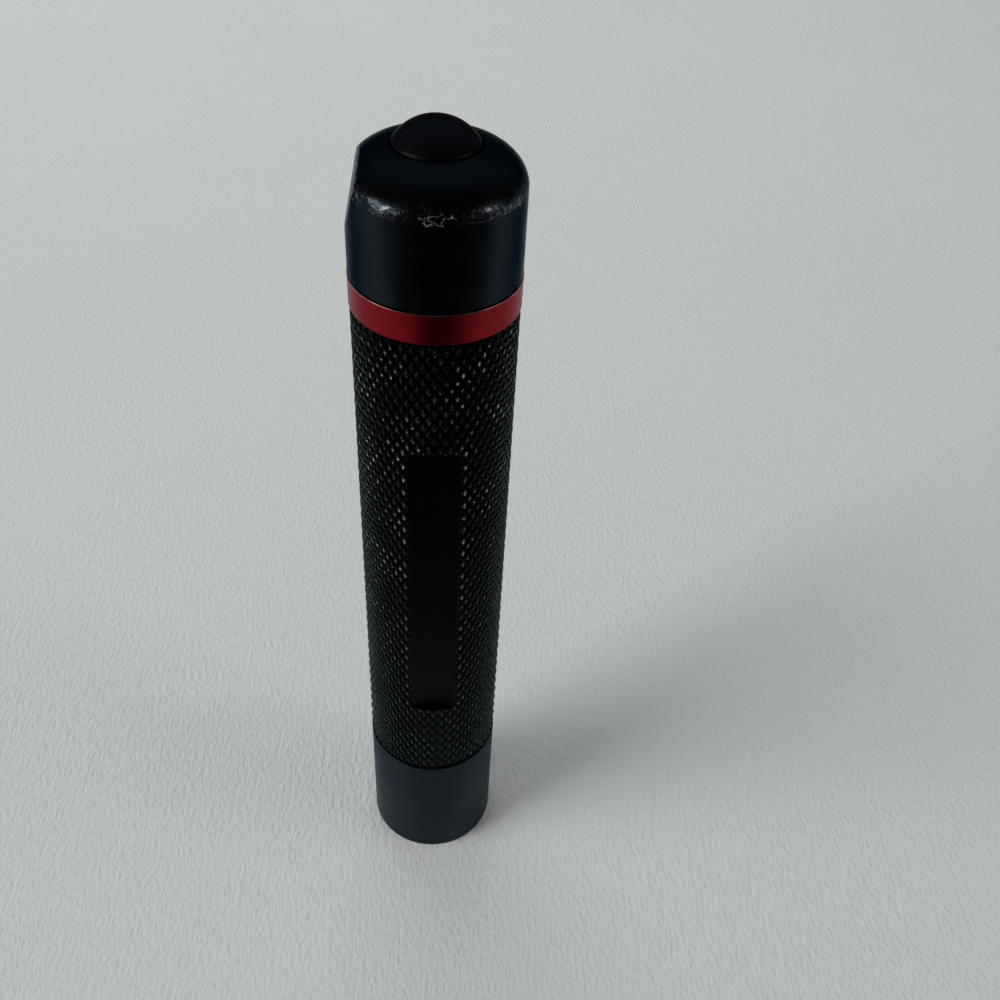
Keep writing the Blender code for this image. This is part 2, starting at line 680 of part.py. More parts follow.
def tail_cap(body):
    """Screw cap: a skirt over the barrel's spigot, a rounded shoulder, and the button's stepped bore."""
    steps = 9
    profile = []
    hole_angle = math.acos((BUTTON_HOLE - CAP_RADIUS + SHOULDER_DEPTH) / SHOULDER_DEPTH)
    for i in range(steps + 1):
        angle = hole_angle * (1 - i / steps)
        radius = CAP_RADIUS - SHOULDER_DEPTH * (1 - math.cos(angle))
        profile.append((radius, SHOULDER_START + SHOULDER_HEIGHT * math.sin(angle)))
    profile += [
        (CAP_RADIUS, CAP_RIM + EDGE_CHAMFER),
        (CAP_RADIUS - EDGE_CHAMFER, CAP_RIM),
        (CAP_BORE, CAP_RIM),
        (CAP_BORE, CAP_SHELF),
        (FLANGE_BORE, CAP_SHELF),
        (FLANGE_BORE, CAP_CEILING),
        (BUTTON_HOLE, CAP_CEILING),
    ]
    cap = turned("tail_cap", profile, OUTER_FACETS, black_anodised("cap black"), body)
    cut(cap, flat_cutter())


def switch_retainer(body):
    """Threaded ring that holds the switch board up against the cap's shelf and earths it."""
    outer = CAP_BORE - SLIDE_GAP
    top = RETAINER_BOTTOM + RETAINER_HEIGHT
    metal = brass("retainer brass")
    tube("switch_retainer", outer, outer - RETAINER_WALL, RETAINER_BOTTOM, top, INNER_FACETS, metal, body)


def switch_board(body):
    green = plastic("switch board green", (0.02, 0.16, 0.06))
    radius = CAP_BORE - SLIDE_GAP
    disc("switch_board", radius, SWITCH_BOARD_BOTTOM, SWITCH_BOARD_TOP, INNER_FACETS, green, body)


def switch_housing(body):
    """Square body of the push switch, open through the middle for its plunger."""
    size = (SWITCH_WIDTH, SWITCH_WIDTH, SWITCH_HEIGHT)
    centre = (0, 0, CAP_SHELF + SWITCH_HEIGHT / 2)
    housing = block("switch_housing", size, centre, plastic("switch black", (0.03, 0.03, 0.03)), body)
    hole = PLUNGER_RADIUS + SLIDE_GAP
    cut(housing, round_cutter("plunger_hole", hole, CAP_SHELF - SWITCH_HEIGHT, SWITCH_TOP + SWITCH_HEIGHT))


def tail_spring(body):
    """Negative contact: a conical spring from the switch board to the cell."""
    gold = brass("tail spring brass")
    top = SWITCH_BOARD_BOTTOM - SEAT_GAP
    coil("tail_spring", TAIL_SPRING_NARROW, TAIL_SPRING_WIDE, CELL_REAR + SEAT_GAP, top, 4.5, gold, body)


def button_spring(body):
    """Returns the button, between the switch board and the button's flange."""
    steel = bright_metal("button spring steel")
    radius = FLANGE_RADIUS - BUTTON_SPRING_INSET
    coil("button_spring", radius, radius, CAP_SHELF, FLANGE_BOTTOM - SEAT_GAP, 3.5, steel, body)


def button(body):
    """Domed button: part of a sphere on a short skirt, with a flange that the cap holds in and a stem."""
    sphere = (BUTTON_RADIUS**2 + BUTTON_DOME_HEIGHT**2) / (2 * BUTTON_DOME_HEIGHT)
    edge_angle = math.asin(BUTTON_RADIUS / sphere)
    centre = DOME_BASE + BUTTON_DOME_HEIGHT - sphere
    steps = 6
    profile = []
    for i in range(steps + 1):
        angle = edge_angle * i / steps
        profile.append((sphere * math.sin(angle), centre + sphere * math.cos(angle)))
    profile += [
        (BUTTON_RADIUS, FLANGE_TOP),
        (FLANGE_RADIUS, FLANGE_TOP),
        (FLANGE_RADIUS, FLANGE_BOTTOM),
        (STEM_RADIUS, FLANGE_BOTTOM),
        (STEM_RADIUS, STEM_BOTTOM),
        (0, STEM_BOTTOM),
    ]
    turned("button", profile, INNER_FACETS, plastic("button black", (0.012, 0.013, 0.015)), body)


def button_seal(body):
    """Rubber washer on the flange, which seals it to the cap's ceiling."""
    inner = BUTTON_RADIUS + SLIDE_GAP
    top = SEAL_BOTTOM + SEAL_THICKNESS
    outer = FLANGE_RADIUS - EDGE_CHAMFER
    tube("button_seal", outer, inner, SEAL_BOTTOM, top, INNER_FACETS, rubber("button seal rubber"), body)


def switch_plunger(body):
    grey = plastic("plunger grey", (0.70, 0.70, 0.70))
    disc("switch_plunger", PLUNGER_RADIUS, PLUNGER_BOTTOM, PLUNGER_TOP, SMALL_FACETS, grey, body)


def build_handle():
    body = new_body("handle_body")
    front_collar(body)
    wiper_ring(body)
    barrel(body)
    cap_o_ring(body)
    lens_clip(body)
    collimator_lens(body)
    lens_holder(body)
    led_emitter(body)
    led_board(body)
    heat_sink(body)
    led_wires(body)
    driver_board(body)
    driver_chip(body)
    front_spring(body)
    battery_cell(body)
    return body


def build_tail(handle):
    """The cap turns with the ring and climbs on it, and the button slides in the cap."""
    ring_body = new_body("ring_body", handle)
    accent_ring(ring_body)
    cap_body = new_body("cap_body", ring_body)
    tail_cap(cap_body)
    switch_retainer(cap_body)
    switch_board(cap_body)
    switch_housing(cap_body)
    tail_spring(cap_body)
    button_spring(cap_body)
    button_body = new_body("button_body", cap_body)
    button(button_body)
    button_seal(button_body)
    switch_plunger(button_body)


def build_wand(handle):
    """Each tube hangs on the one round it."""
    body = handle
    for stage, name in enumerate(STAGES):
        body = new_body(f"{name}_tube_body", body)
        wand_tube(stage, body)
    tip_cap(body)


handle_body = build_handle()
build_tail(handle_body)
build_wand(handle_body)
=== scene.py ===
import math

import bmesh
import bpy
from mathutils import Matrix, Vector


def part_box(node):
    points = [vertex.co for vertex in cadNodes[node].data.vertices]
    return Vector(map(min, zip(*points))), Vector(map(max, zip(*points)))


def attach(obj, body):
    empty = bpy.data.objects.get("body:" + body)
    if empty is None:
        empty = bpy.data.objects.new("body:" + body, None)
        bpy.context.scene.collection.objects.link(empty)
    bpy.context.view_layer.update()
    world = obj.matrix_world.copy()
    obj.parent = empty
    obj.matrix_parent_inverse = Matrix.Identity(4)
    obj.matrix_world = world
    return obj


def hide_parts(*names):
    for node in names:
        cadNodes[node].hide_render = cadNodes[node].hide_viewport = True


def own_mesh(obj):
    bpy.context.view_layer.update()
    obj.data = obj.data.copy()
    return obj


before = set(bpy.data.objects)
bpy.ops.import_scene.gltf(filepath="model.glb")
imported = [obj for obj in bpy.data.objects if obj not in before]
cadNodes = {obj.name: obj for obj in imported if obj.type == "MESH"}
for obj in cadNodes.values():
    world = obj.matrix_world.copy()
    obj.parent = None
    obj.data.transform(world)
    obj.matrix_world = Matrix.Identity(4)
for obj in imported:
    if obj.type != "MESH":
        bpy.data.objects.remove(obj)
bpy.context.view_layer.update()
mm = 0.001
print("frame loaded:", len(cadNodes), "nodes")


# small helpers for modelling

def clearSelection():
    if bpy.context.object and bpy.context.object.mode != "OBJECT":
        bpy.ops.object.mode_set(mode="OBJECT")
    bpy.ops.object.select_all(action="DESELECT")


def pick(piece):
    clearSelection()
    piece.select_set(True)
    bpy.context.view_layer.objects.active = piece


def selectWhere(kind, test):
    # picks the edit mesh's vertices, edges or faces whose place passes the test
    bpy.ops.mesh.select_mode(type={"verts": "VERT", "edges": "EDGE", "faces": "FACE"}[kind])
    bpy.ops.mesh.select_all(action="DESELECT")
    shape = bmesh.from_edit_mesh(bpy.context.object.data)
    for part in getattr(shape, kind):
        if test(part):
            part.select_set(True)
    bmesh.update_edit_mesh(bpy.context.object.data)


def applyAll(piece):
    pick(piece)
    for modifier in list(piece.modifiers):
        bpy.ops.object.modifier_apply(modifier=modifier.name)


def softenEdges(piece, width, segments=3, angle=35):
    bevel = piece.modifiers.new("soft edges", "BEVEL")
    bevel.width = width
    bevel.segments = segments
    bevel.limit_method = "ANGLE"
    bevel.angle_limit = math.radians(angle)
    applyAll(piece)


def smoothShade(piece, angle=30):
    pick(piece)
    bpy.ops.object.shade_smooth_by_angle(angle=math.radians(angle))


def arc(centreX, centreZ, radiusX, radiusZ, start, end, steps):
    turn = [math.radians(start + (end - start) * i / steps) for i in range(steps + 1)]
    return [(centreX + radiusX * math.cos(a), centreZ + radiusZ * math.sin(a)) for a in turn]


def turnPiece(name, outline, steps=160, softness=0.0):
    # one corner is drawn out from point to point, then the line is spun round the axis
    clearSelection()
    bpy.ops.mesh.primitive_plane_add(size=mm)
    piece = bpy.context.object
    piece.name = name
    bpy.ops.object.mode_set(mode="EDIT")
    bpy.ops.mesh.select_mode(type="VERT")
    bpy.ops.mesh.merge(type="CENTER")
    bpy.ops.transform.translate(value=(outline[0][0], 0, outline[0][1]))
    for start, end in zip(outline, outline[1:]):
        step = (end[0] - start[0], 0, end[1] - start[1])
        bpy.ops.mesh.extrude_region_move(TRANSFORM_OT_translate={"value": step})
    bpy.ops.mesh.select_all(action="SELECT")
    bpy.ops.mesh.spin(steps=steps, angle=math.tau, center=(0, 0, 0), axis=(0, 0, 1))
    bpy.ops.mesh.select_all(action="SELECT")
    bpy.ops.mesh.remove_doubles(threshold=0.003 * mm)
    bpy.ops.mesh.normals_make_consistent(inside=False)
    bpy.ops.object.mode_set(mode="OBJECT")
    if softness:
        softenEdges(piece, softness)
    smoothShade(piece)
    return piece


def turnRing(name, outline, steps=160, softness=0.0):
    return turnPiece(name, outline + outline[:1], steps, softness)


def cutAway(piece, tool):
    boolean = piece.modifiers.new("cut", "BOOLEAN")
    boolean.operation = "DIFFERENCE"
    boolean.solver = "EXACT"
    boolean.object = tool
    applyAll(piece)
    bpy.data.objects.remove(tool)


def place(piece, body, slotName, *replaced):
    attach(piece, body)
    if replaced:
        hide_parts(*replaced)


# small helpers for materials

def startFinish(name, colour, roughness, metallic=0.0, **more):
    finish = bpy.data.materials.new(name)
    finish.use_nodes = True
    tree = finish.node_tree
    shader = tree.nodes["Principled BSDF"]
    shader.inputs["Base Color"].default_value = (*colour, 1)
    shader.inputs["Roughness"].default_value = roughness
    shader.inputs["Metallic"].default_value = metallic
    for socket, value in more.items():
        shader.inputs[socket.replace("_", " ")].default_value = value
    return finish, tree, shader


def addNode(tree, kind, inputs=None, **settings):
    node = tree.nodes.new("ShaderNode" + kind)
    for key, value in settings.items():
        setattr(node, key, value)
    for key, value in (inputs or {}).items():
        if isinstance(value, bpy.types.NodeSocket):
            tree.links.new(value, node.inputs[key])
        else:
            node.inputs[key].default_value = value
    return node


def sums(tree, operation, first, second=0.0):
    return addNode(tree, "Math", {0: first, 1: second}, operation=operation).outputs[0]


def times(tree, first, *others):
    for other in others:
        first = sums(tree, "MULTIPLY", first, other)
    return first


def most(tree, first, *others):
    for other in others:
        first = sums(tree, "MAXIMUM", first, other)
    return first


def awayFrom(tree, value, middle):
    return sums(tree, "ABSOLUTE", sums(tree, "SUBTRACT", value, middle))


def ramp(tree, value, low, high, bottom=0.0, top=1.0):
    # runs smoothly from bottom to top while the value goes from low to high
    reach = {"Value": value, "From Min": low, "From Max": high, "To Min": bottom, "To Max": top}
    return addNode(tree, "MapRange", reach, interpolation_type="SMOOTHSTEP").outputs[0]


def band(tree, value, low, lowFull, highFull, high):
    # 1 between the two middle values, fading to 0 at the outer two
    return times(tree, ramp(tree, value, low, lowFull), ramp(tree, value, high, highFull))


def blendColours(tree, share, first, second):
    mix = addNode(tree, "Mix", data_type="RGBA")
    for index, value in ((0, share), (6, first), (7, second)):
        if isinstance(value, bpy.types.NodeSocket):
            tree.links.new(value, mix.inputs[index])
        else:
            mix.inputs[index].default_value = value if index == 0 else (*value, 1)
    return mix.outputs[2]


def objectPlace(tree, stretch=(1, 1, 1)):
    spot = addNode(tree, "TexCoord").outputs["Object"]
    return addNode(tree, "Mapping", {"Vector": spot, "Scale": stretch}).outputs[0]


def noise(tree, scale, detail=3.0, roughness=0.55, stretch=(1, 1, 1)):
    inputs = {"Vector": objectPlace(tree, stretch), "Scale": scale, "Detail": detail, "Roughness": roughness}
    return addNode(tree, "TexNoise", inputs).outputs[0]


def axisPlace(tree):
    # place across and along the grip, and distance from its axis, in millimetres
    parts = addNode(tree, "SeparateXYZ", {0: addNode(tree, "TexCoord").outputs["Object"]}).outputs
    x, y, z = (times(tree, part, 1 / mm) for part in parts)
    radius = sums(tree, "SQRT", sums(tree, "ADD", times(tree, x, x), times(tree, y, y)))
    return {"x": x, "y": y, "z": z, "radius": radius}


def addBump(tree, shader, height, strength, distance):
    inputs = {"Height": height, "Strength": strength, "Distance": distance}
    bump = addNode(tree, "Bump", inputs).outputs[0]
    tree.links.new(bump, shader.inputs["Normal"])


def plainFinish(name, colour, roughness, grain=900, unevenness=0.12, **more):
    # a moulded surface with a little variation in tone and gloss
    finish, tree, shader = startFinish(name, colour, roughness, **more)
    cloud = noise(tree, grain)
    darker = tuple(c * (1 - unevenness) for c in colour)
    lighter = tuple(min(1, c * (1 + unevenness)) for c in colour)
    tree.links.new(blendColours(tree, cloud, darker, lighter), shader.inputs["Base Color"])
    gloss = ramp(tree, cloud, 0.3, 0.7, roughness * 0.88, min(1, roughness * 1.12))
    tree.links.new(gloss, shader.inputs["Roughness"])
    addBump(tree, shader, cloud, 0.15, 0.02 * mm)
    return finish


def lathedFinish(name, colour, roughness, metallic):
    # fine turning marks run round the axis
    finish, tree, shader = startFinish(name, colour, roughness, metallic)
    marks = noise(tree, 1.0, detail=4, stretch=(60, 60, 9000))
    darker = tuple(c * 0.82 for c in colour)
    lighter = tuple(min(1, c * 1.15) for c in colour)
    tree.links.new(blendColours(tree, marks, darker, lighter), shader.inputs["Base Color"])
    tree.links.new(ramp(tree, marks, 0.3, 0.7, roughness * 0.8, roughness * 1.2), shader.inputs["Roughness"])
    addBump(tree, shader, marks, 0.2, 0.01 * mm)
    return finish


def dressNode(name, finish):
    slots = cadNodes[name].data.materials
    slots.clear()
    slots.append(finish)


# heights and radii, from the frame

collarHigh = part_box("front_collar")[1]
barrelLow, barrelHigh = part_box("barrel")
ringLow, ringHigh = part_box("accent_ring")
capLow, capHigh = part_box("tail_cap")
buttonLow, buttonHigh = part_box("button")
seatGap = 0.3 * mm
grip = {
    "radius": barrelHigh.x,
    "front": barrelLow.z,
    "shoulder": ringLow.z - seatGap,
    "spigotTop": barrelHigh.z,
    "spigotRadius": barrelHigh.x - 1.5 * mm,
    "boreRadius": barrelHigh.x - 2.8 * mm,
}


# finishes of the outside

# the darkest of these blacks is painted shade on the floor of the knurl's sunk window
anodise = {"black": (0.022, 0.029, 0.037), "windowFloorShade": (0.0022, 0.0029, 0.0037), "worn": (0.50, 0.51, 0.51),
           "scuffed": (0.20, 0.205, 0.21), "polished": (0.62, 0.63, 0.62), "edgeTint": (0.93, 0.99, 1.07)}
# bands in millimetres above the start of the cap's shoulder, and places from there
capWear = {"scuff": (-0.2, 0.1, 1.4, 3.3), "scratch": (-0.4, -0.1, 1.0, 2.2), "chips": (-1.0, -0.2, 1.2, 4.5),
           "frontSpot": (0.2, -13.8, 0.1), "frontReach": 3.0, "sideSpot": (12.2, -6.0, 1.2), "sideReach": 2.0}


def blackAnodise(name, roughness, depth=1.0, edge=0.42):
    # dyed oxide over bead-blasted metal: a very fine grain, and slight clouds in tone and gloss
    black = tuple(depth * part for part in anodise["black"])
    finish, tree, shader = startFinish(name, black, roughness, 1.0)
    shader.inputs["Specular Tint"].default_value = (*(edge * part for part in anodise["edgeTint"]), 1)
    grain = noise(tree, 9000, detail=2)
    clouds = noise(tree, 260, detail=4)
    gloss = sums(tree, "ADD", ramp(tree, clouds, 0.3, 0.7, roughness - 0.04, roughness + 0.05),
                 ramp(tree, grain, 0.3, 0.7, -0.03, 0.03))
    darker = tuple(part * 0.8 for part in black)
    lighter = tuple(part * 1.25 for part in black)
    return finish, tree, shader, blendColours(tree, clouds, darker, lighter), gloss, grain


def scatterWorn(tree, shader, wear, share):
    # worn metal is torn up, so part of its light scatters
    tree.links.new(sums(tree, "SUBTRACT", 1.0, times(tree, wear, share)), shader.inputs["Metallic"])


def finishCollar():
    # this copy of the black anodise is painted a little lighter and darkens less at grazing angles: a painted
    # sheen on the collar's sides
    finish, tree, shader, tone, gloss, grain = blackAnodise("collar anodise", 0.42, depth=1.05, edge=0.75)
    at = axisPlace(tree)
    # the rim that it stands on is rubbed
    rim = times(tree, ramp(tree, at["z"], 0.55, 0.15), ramp(tree, noise(tree, 1600), 0.5, 0.62))
    tree.links.new(blendColours(tree, rim, tone, anodise["worn"]), shader.inputs["Base Color"])
    tree.links.new(gloss, shader.inputs["Roughness"])
    addBump(tree, shader, grain, 0.25, 0.012 * mm)
    return finish


def finishKnurl():
    # this copy of the black anodise is painted at half depth, a painted shade over the knurl's facets, and
    # without darkening at grazing angles, a painted sheen on its flanks
    finish, tree, shader, tone, gloss, grain = blackAnodise("knurl anodise", 0.42, depth=0.5, edge=1.0)
    at = axisPlace(tree)
    crest = knurl["tipRadius"] / mm
    tips = ramp(tree, at["radius"], crest - 0.07, crest - 0.02)
    patches = ramp(tree, noise(tree, 150, detail=4), 0.36, 0.62)
    single = ramp(tree, noise(tree, 1900, detail=3), 0.50, 0.60)
    rubbed = times(tree, tips, patches, single)
    # the cutter that sank the window left bright tips round it
    sideways = sums(tree, "SUBTRACT", sums(tree, "ABSOLUTE", at["x"]), window["halfWidth"] / mm)
    along = sums(tree, "SUBTRACT", awayFrom(tree, at["z"], window["middle"] / mm), window["halfLength"] / mm)
    away = most(tree, sideways, along)
    rim = times(tree, ramp(tree, away, 0.70, 0.35), ramp(tree, at["y"], 0, -4))
    outer = ramp(tree, at["radius"], crest - 0.12, crest - 0.03)
    border = times(tree, rim, outer, ramp(tree, noise(tree, 900, detail=2), 0.40, 0.56))
    # the wear thins out towards the front end, down to a quarter below 55 mm
    tipWearRise = ramp(tree, at["z"], 55, 120, 0.25, 1.0)
    wear = times(tree, most(tree, rubbed, times(tree, border, 0.7)), tipWearRise)
    # the window's floor is painted ten times darker than the anodise: painted shade in the sunk window
    windowFloorShade = times(tree, ramp(tree, awayFrom(tree, at["y"], -window["floor"] / mm), 0.12, 0.04),
                   ramp(tree, away, 0.1, -0.1))
    tone = blendColours(tree, windowFloorShade, tone, anodise["windowFloorShade"])
    tree.links.new(blendColours(tree, wear, tone, anodise["polished"]), shader.inputs["Base Color"])
    scatterWorn(tree, shader, wear, 0.5)
    tree.links.new(gloss, shader.inputs["Roughness"])
    addBump(tree, shader, grain, 0.25, 0.015 * mm)
    return finish


def finishCap():
    finish, tree, shader, tone, gloss, grain = blackAnodise("cap anodise", 0.28)
    at = axisPlace(tree)
    start = cap["shoulder"] / mm
    above = sums(tree, "SUBTRACT", at["z"], start)
    # the start of the shoulder is scuffed all round: pits and hair-fine scratches with a crisp lower edge
    fine = noise(tree, 2400, detail=6, roughness=0.7)
    patchy = noise(tree, 300, detail=4, roughness=0.6)
    offFlat = sums(tree, "SUBTRACT", 1.0, nearFlat(tree, at))
    scuff = times(tree, band(tree, above, *capWear["scuff"]), offFlat, ramp(tree, patchy, 0.40, 0.58))
    rough = times(tree, scuff, ramp(tree, fine, 0.46, 0.60))
    # scratches follow the level lines of a noise, in torn patches and at two places
    lines = ramp(tree, awayFrom(tree, noise(tree, 620, detail=3), 0.5), 0.012, 0.004)
    torn = most(tree, ramp(tree, noise(tree, 210, detail=3), 0.56, 0.62),
                nearSpot(tree, at, capWear["frontSpot"], capWear["frontReach"]),
                nearSpot(tree, at, capWear["sideSpot"], capWear["sideReach"]))
    scratches = times(tree, lines, torn, band(tree, above, *capWear["scratch"]))
    # a few chips reach further
    chips = times(tree, ramp(tree, noise(tree, 520, detail=6, roughness=0.66), 0.70, 0.73),
                  band(tree, above, *capWear["chips"]), 0.8)
    torn = most(tree, chips, scratches)
    # the edges of the flat are down to metal
    edge = times(tree, flatEdge(tree, at), ramp(tree, above, 1.0, 3.0),
                 ramp(tree, noise(tree, 1500, detail=4), 0.38, 0.50))
    scuffed = blendColours(tree, rough, tone, anodise["scuffed"])
    worn = blendColours(tree, most(tree, torn, edge), scuffed, anodise["worn"])
    tree.links.new(worn, shader.inputs["Base Color"])
    scatterWorn(tree, shader, torn, 0.6)
    tree.links.new(sums(tree, "SUBTRACT", gloss, times(tree, scuff, 0.06)), shader.inputs["Roughness"])
    height = sums(tree, "ADD", times(tree, grain, 0.15), times(tree, fine, scuff, 2.0))
    addBump(tree, shader, height, 0.6, 0.03 * mm)
    return finish


def nearSpot(tree, at, spot, reach):
    # 1 near a place on the cap, 0 past the reach
    middle = (spot[0], spot[1], spot[2] + cap["shoulder"] / mm)
    gaps = [awayFrom(tree, at[axis], value) for axis, value in zip("xyz", middle)]
    x, y, z = (times(tree, gap, gap) for gap in gaps)
    away = sums(tree, "SQRT", sums(tree, "ADD", x, sums(tree, "ADD", y, z)))
    return ramp(tree, away, reach, reach * 0.8)


def nearFlat(tree, at):
    # 1 on the flat's own plane, falling off within a fraction of a millimetre
    across = sums(tree, "ADD", times(tree, at["x"], flat["normal"].x), times(tree, at["y"], flat["normal"].y))
    through = sums(tree, "ADD", across, times(tree, at["z"], flat["normal"].z))
    return ramp(tree, awayFrom(tree, through, flat["offset"] / mm), 0.28, 0.06)


def flatEdge(tree, at):
    # on the flat's plane and also on the cap's own rounded shoulder
    deep, tall = cap["shoulderDepth"] / mm, cap["shoulderHeight"] / mm
    above = sums(tree, "SUBTRACT", at["z"], cap["shoulder"] / mm)
    rise = most(tree, sums(tree, "DIVIDE", above, tall), 0.0)
    run = sums(tree, "DIVIDE", sums(tree, "SUBTRACT", at["radius"], cap["radius"] / mm - deep), deep)
    reach = sums(tree, "SQRT", sums(tree, "ADD", times(tree, rise, rise), times(tree, run, run)))
    return times(tree, nearFlat(tree, at), ramp(tree, reach, 0.955, 0.985))


def finishRing():
    finish, tree, shader = startFinish("ring red anodise", (0.26, 0.010, 0.015), 0.32, 1.0)
    shader.inputs["Specular Tint"].default_value = (0.86, 0.64, 0.68, 1)
    marks = noise(tree, 1.0, detail=4, stretch=(70, 70, 7000))
    clouds = noise(tree, 300, detail=3)
    at = axisPlace(tree)
    tone = blendColours(tree, clouds, (0.24, 0.009, 0.014), (0.29, 0.012, 0.018))
    # the top chamfer is painted a pale colour: a painted highlight round the top edge
    top = ringHigh.z / mm
    lip = times(tree, ramp(tree, at["z"], top - 0.20, top - 0.07),
                ramp(tree, noise(tree, 500), 0.30, 0.55, 0.45, 1.0), 0.8)
    tree.links.new(blendColours(tree, lip, tone, (0.85, 0.62, 0.60)), shader.inputs["Base Color"])
    tree.links.new(ramp(tree, marks, 0.3, 0.7, 0.26, 0.36), shader.inputs["Roughness"])
    addBump(tree, shader, marks, 0.15, 0.01 * mm)
    return finish


def finishButton():
    finish, tree, shader = startFinish("button satin", button["colour"], 0.40, 1.0)
    shader.inputs["Specular Tint"].default_value = (0.42, 0.42, 0.42, 1)
    grain = noise(tree, 5200, detail=3)
    smudge = noise(tree, 240, detail=4)
    tree.links.new(ramp(tree, smudge, 0.3, 0.7, 0.36, 0.46), shader.inputs["Roughness"])
    specks = ramp(tree, noise(tree, 1500, detail=2), 0.76, 0.80)
    tone = blendColours(tree, specks, button["colour"], (0.16, 0.16, 0.16))
    tree.links.new(tone, shader.inputs["Base Color"])
    addBump(tree, shader, grain, 0.2, 0.012 * mm)
    return finish


# front collar

collar = {"mouth": 9.9 * mm, "mouthLength": 9.0 * mm, "chamfer": 0.30 * mm, "topChamfer": 0.18 * mm,
          "spigotRadius": 12.0 * mm, "wiperLow": 3.2 * mm, "wiperHigh": 5.6 * mm, "wiperRadius": 10.85 * mm}


def makeCollar():
    top = grip["front"] - seatGap
    c, high, outer, bore = collar["chamfer"], collar["topChamfer"], grip["radius"], grip["boreRadius"]
    outline = [
        (collar["spigotRadius"], collarHigh.z), (collar["spigotRadius"], top), (outer - high, top),
        (outer, top - high), (outer, c), (outer - c, 0), (collar["mouth"] + c, 0), (collar["mouth"], c),
        (collar["mouth"], collar["wiperLow"]), (collar["wiperRadius"], collar["wiperLow"]),
        (collar["wiperRadius"], collar["wiperHigh"]), (collar["mouth"], collar["wiperHigh"]),
        (collar["mouth"], collar["mouthLength"]), (bore, collar["mouthLength"]), (bore, collarHigh.z),
    ]
    piece = turnRing("frontCollar", outline, steps=192, softness=0.06 * mm)
    piece.data.materials.append(finishCollar())
    place(piece, "handle", "front_collar", "front_collar")


makeCollar()
print("front collar done")


# barrel: a core with the spigot and bores, inside a knurled sleeve with a sunk window

knurl = {"starts": 48, "rows": 38, "depth": 0.55 * mm, "tipRadius": grip["radius"],
         "flank": 0.44 * mm, "crown": 0.10 * mm, "crownHeight": 0.05 * mm, "inner": 12.36 * mm}
window = {"halfWidth": 4.85 * mm, "middle": grip["front"] + 54.4 * mm, "halfLength": 34.0 * mm,
          "floor": grip["radius"] - 1.30 * mm, "corner": 1.6 * mm, "fillet": 0.5 * mm}
barrel = {"cellBore": 9.0 * mm, "grooveAt": 6.2 * mm, "grooveWidth": 2.0 * mm, "grooveDepth": 1.1 * mm,
          "clipGroove": 0.8 * mm, "sleeveGap": 0.03 * mm}
tiny = 0.01 * mm


def makeSleeve():
    low, high = grip["front"], grip["shoulder"]
    root = knurl["tipRadius"] - knurl["depth"]
    pitch = (high - low) / knurl["rows"]
    clearSelection()
    bpy.ops.mesh.primitive_circle_add(vertices=knurl["starts"], radius=root, location=(0, 0, low))
    piece = bpy.context.object
    piece.name = "knurledSleeve"
    bpy.ops.object.transform_apply(location=True, rotation=False, scale=False)
    bpy.ops.object.mode_set(mode="EDIT")
    bpy.ops.mesh.select_all(action="SELECT")
    for _ in range(knurl["rows"]):
        bpy.ops.mesh.extrude_region_move(TRANSFORM_OT_translate={"value": (0, 0, pitch)})
    bpy.ops.mesh.select_all(action="SELECT")
    bpy.ops.mesh.normals_make_consistent(inside=False)
    # each square gets a cross, and without the squares' own edges the cross leaves diamonds
    bpy.ops.mesh.poke()

    def isSquareEdge(edge):
        a, b = (v.co for v in edge.verts)
        level = abs(a.z - b.z) < tiny
        upright = (a.xy - b.xy).length < tiny
        return (level or upright) and not edge.is_boundary

    selectWhere("edges", isSquareEdge)
    bpy.ops.mesh.dissolve_edges(use_verts=False)
    bpy.ops.mesh.select_mode(type="FACE")
    bpy.ops.mesh.select_all(action="SELECT")
    bpy.ops.mesh.inset(use_individual=True, thickness=knurl["flank"],
                       depth=knurl["depth"] - knurl["crownHeight"])
    bpy.ops.mesh.inset(use_individual=True, thickness=knurl["crown"], depth=knurl["crownHeight"])
    # both ends turn in, and a plain wall joins them inside
    bpy.ops.mesh.select_mode(type="EDGE")
    bpy.ops.mesh.select_all(action="DESELECT")
    bpy.ops.mesh.select_non_manifold()
    bpy.ops.mesh.extrude_edges_move()
    inward = knurl["inner"] / root
    bpy.ops.transform.resize(value=(inward, inward, 1), center_override=(0, 0, 0))
    bpy.ops.mesh.bridge_edge_loops()
    bpy.ops.mesh.select_all(action="SELECT")
    bpy.ops.mesh.normals_make_consistent(inside=False)
    bpy.ops.object.mode_set(mode="OBJECT")
    return piece


def makeWindowCutter():
    # a block with rounded corners as the end mill leaves them, and a fillet round its foot
    height = 6 * mm
    clearSelection()
    bpy.ops.mesh.primitive_cube_add(size=1, location=(0, -window["floor"] - height / 2, window["middle"]))
    tool = bpy.context.object
    tool.scale = (2 * window["halfWidth"], height, 2 * window["halfLength"])
    bpy.ops.object.transform_apply(location=True, rotation=False, scale=True)
    bpy.ops.object.mode_set(mode="EDIT")
    selectWhere("edges", lambda e: abs(e.verts[0].co.y - e.verts[1].co.y) > tiny)
    bpy.ops.mesh.bevel(offset=window["corner"], segments=10)
    selectWhere("edges", lambda e: all(v.co.y > -window["floor"] - tiny for v in e.verts))
    bpy.ops.mesh.bevel(offset=window["fillet"], segments=6)
    bpy.ops.object.mode_set(mode="OBJECT")
    return tool


